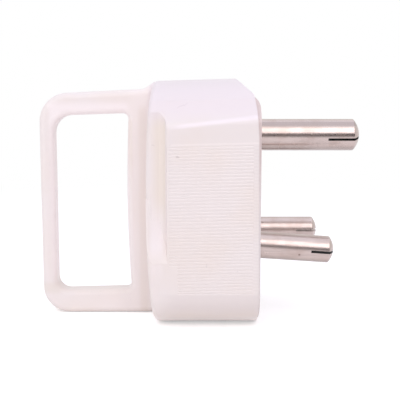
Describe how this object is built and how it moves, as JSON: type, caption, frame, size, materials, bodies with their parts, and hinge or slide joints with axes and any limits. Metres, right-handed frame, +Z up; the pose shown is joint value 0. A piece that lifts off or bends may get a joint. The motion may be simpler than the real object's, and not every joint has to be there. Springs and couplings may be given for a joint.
{
  "type": "three-pin plug",
  "caption": "Large round-pin power plug: white moulded cover with a loop handle to pull it by, fine grip ribs and finger scoops, a base that carries the pins, and turned pins with split tips",
  "frame": {"origin": "on the earth pin's axis, in the plane of the pin face", "axes": "+X runs along the pins to their tips, +Z is up with the earth pin on top, +Y points to the neutral pin's side"},
  "size_m": [0.0883, 0.044, 0.0654],
  "materials": {
    "cover_moulding": "white thermoset moulding, satin gloss",
    "base_moulding": "off-white thermoset moulding, a shade darker than the cover",
    "plated_pin": "turned brass, nickel plated, lightly brushed round the pin",
    "steel_screw": "zinc plated steel",
    "brass_insert": "plain turned brass",
    "clamp_moulding": "off-white moulding"
  },
  "bodies": {
    "root": {"rear_cover": "cover_moulding", "pin_base": "base_moulding", "earth_pin": "plated_pin", "line_pin": "plated_pin", "neutral_pin": "plated_pin", "earth_terminal_screw": "steel_screw", "line_terminal_screw": "steel_screw", "neutral_terminal_screw": "steel_screw", "cover_screw": "steel_screw", "cover_insert": "brass_insert", "cord_clamp": "clamp_moulding", "cord_clamp_screw_left": "steel_screw", "cord_clamp_screw_right": "steel_screw"}
  },
  "joints": []
}
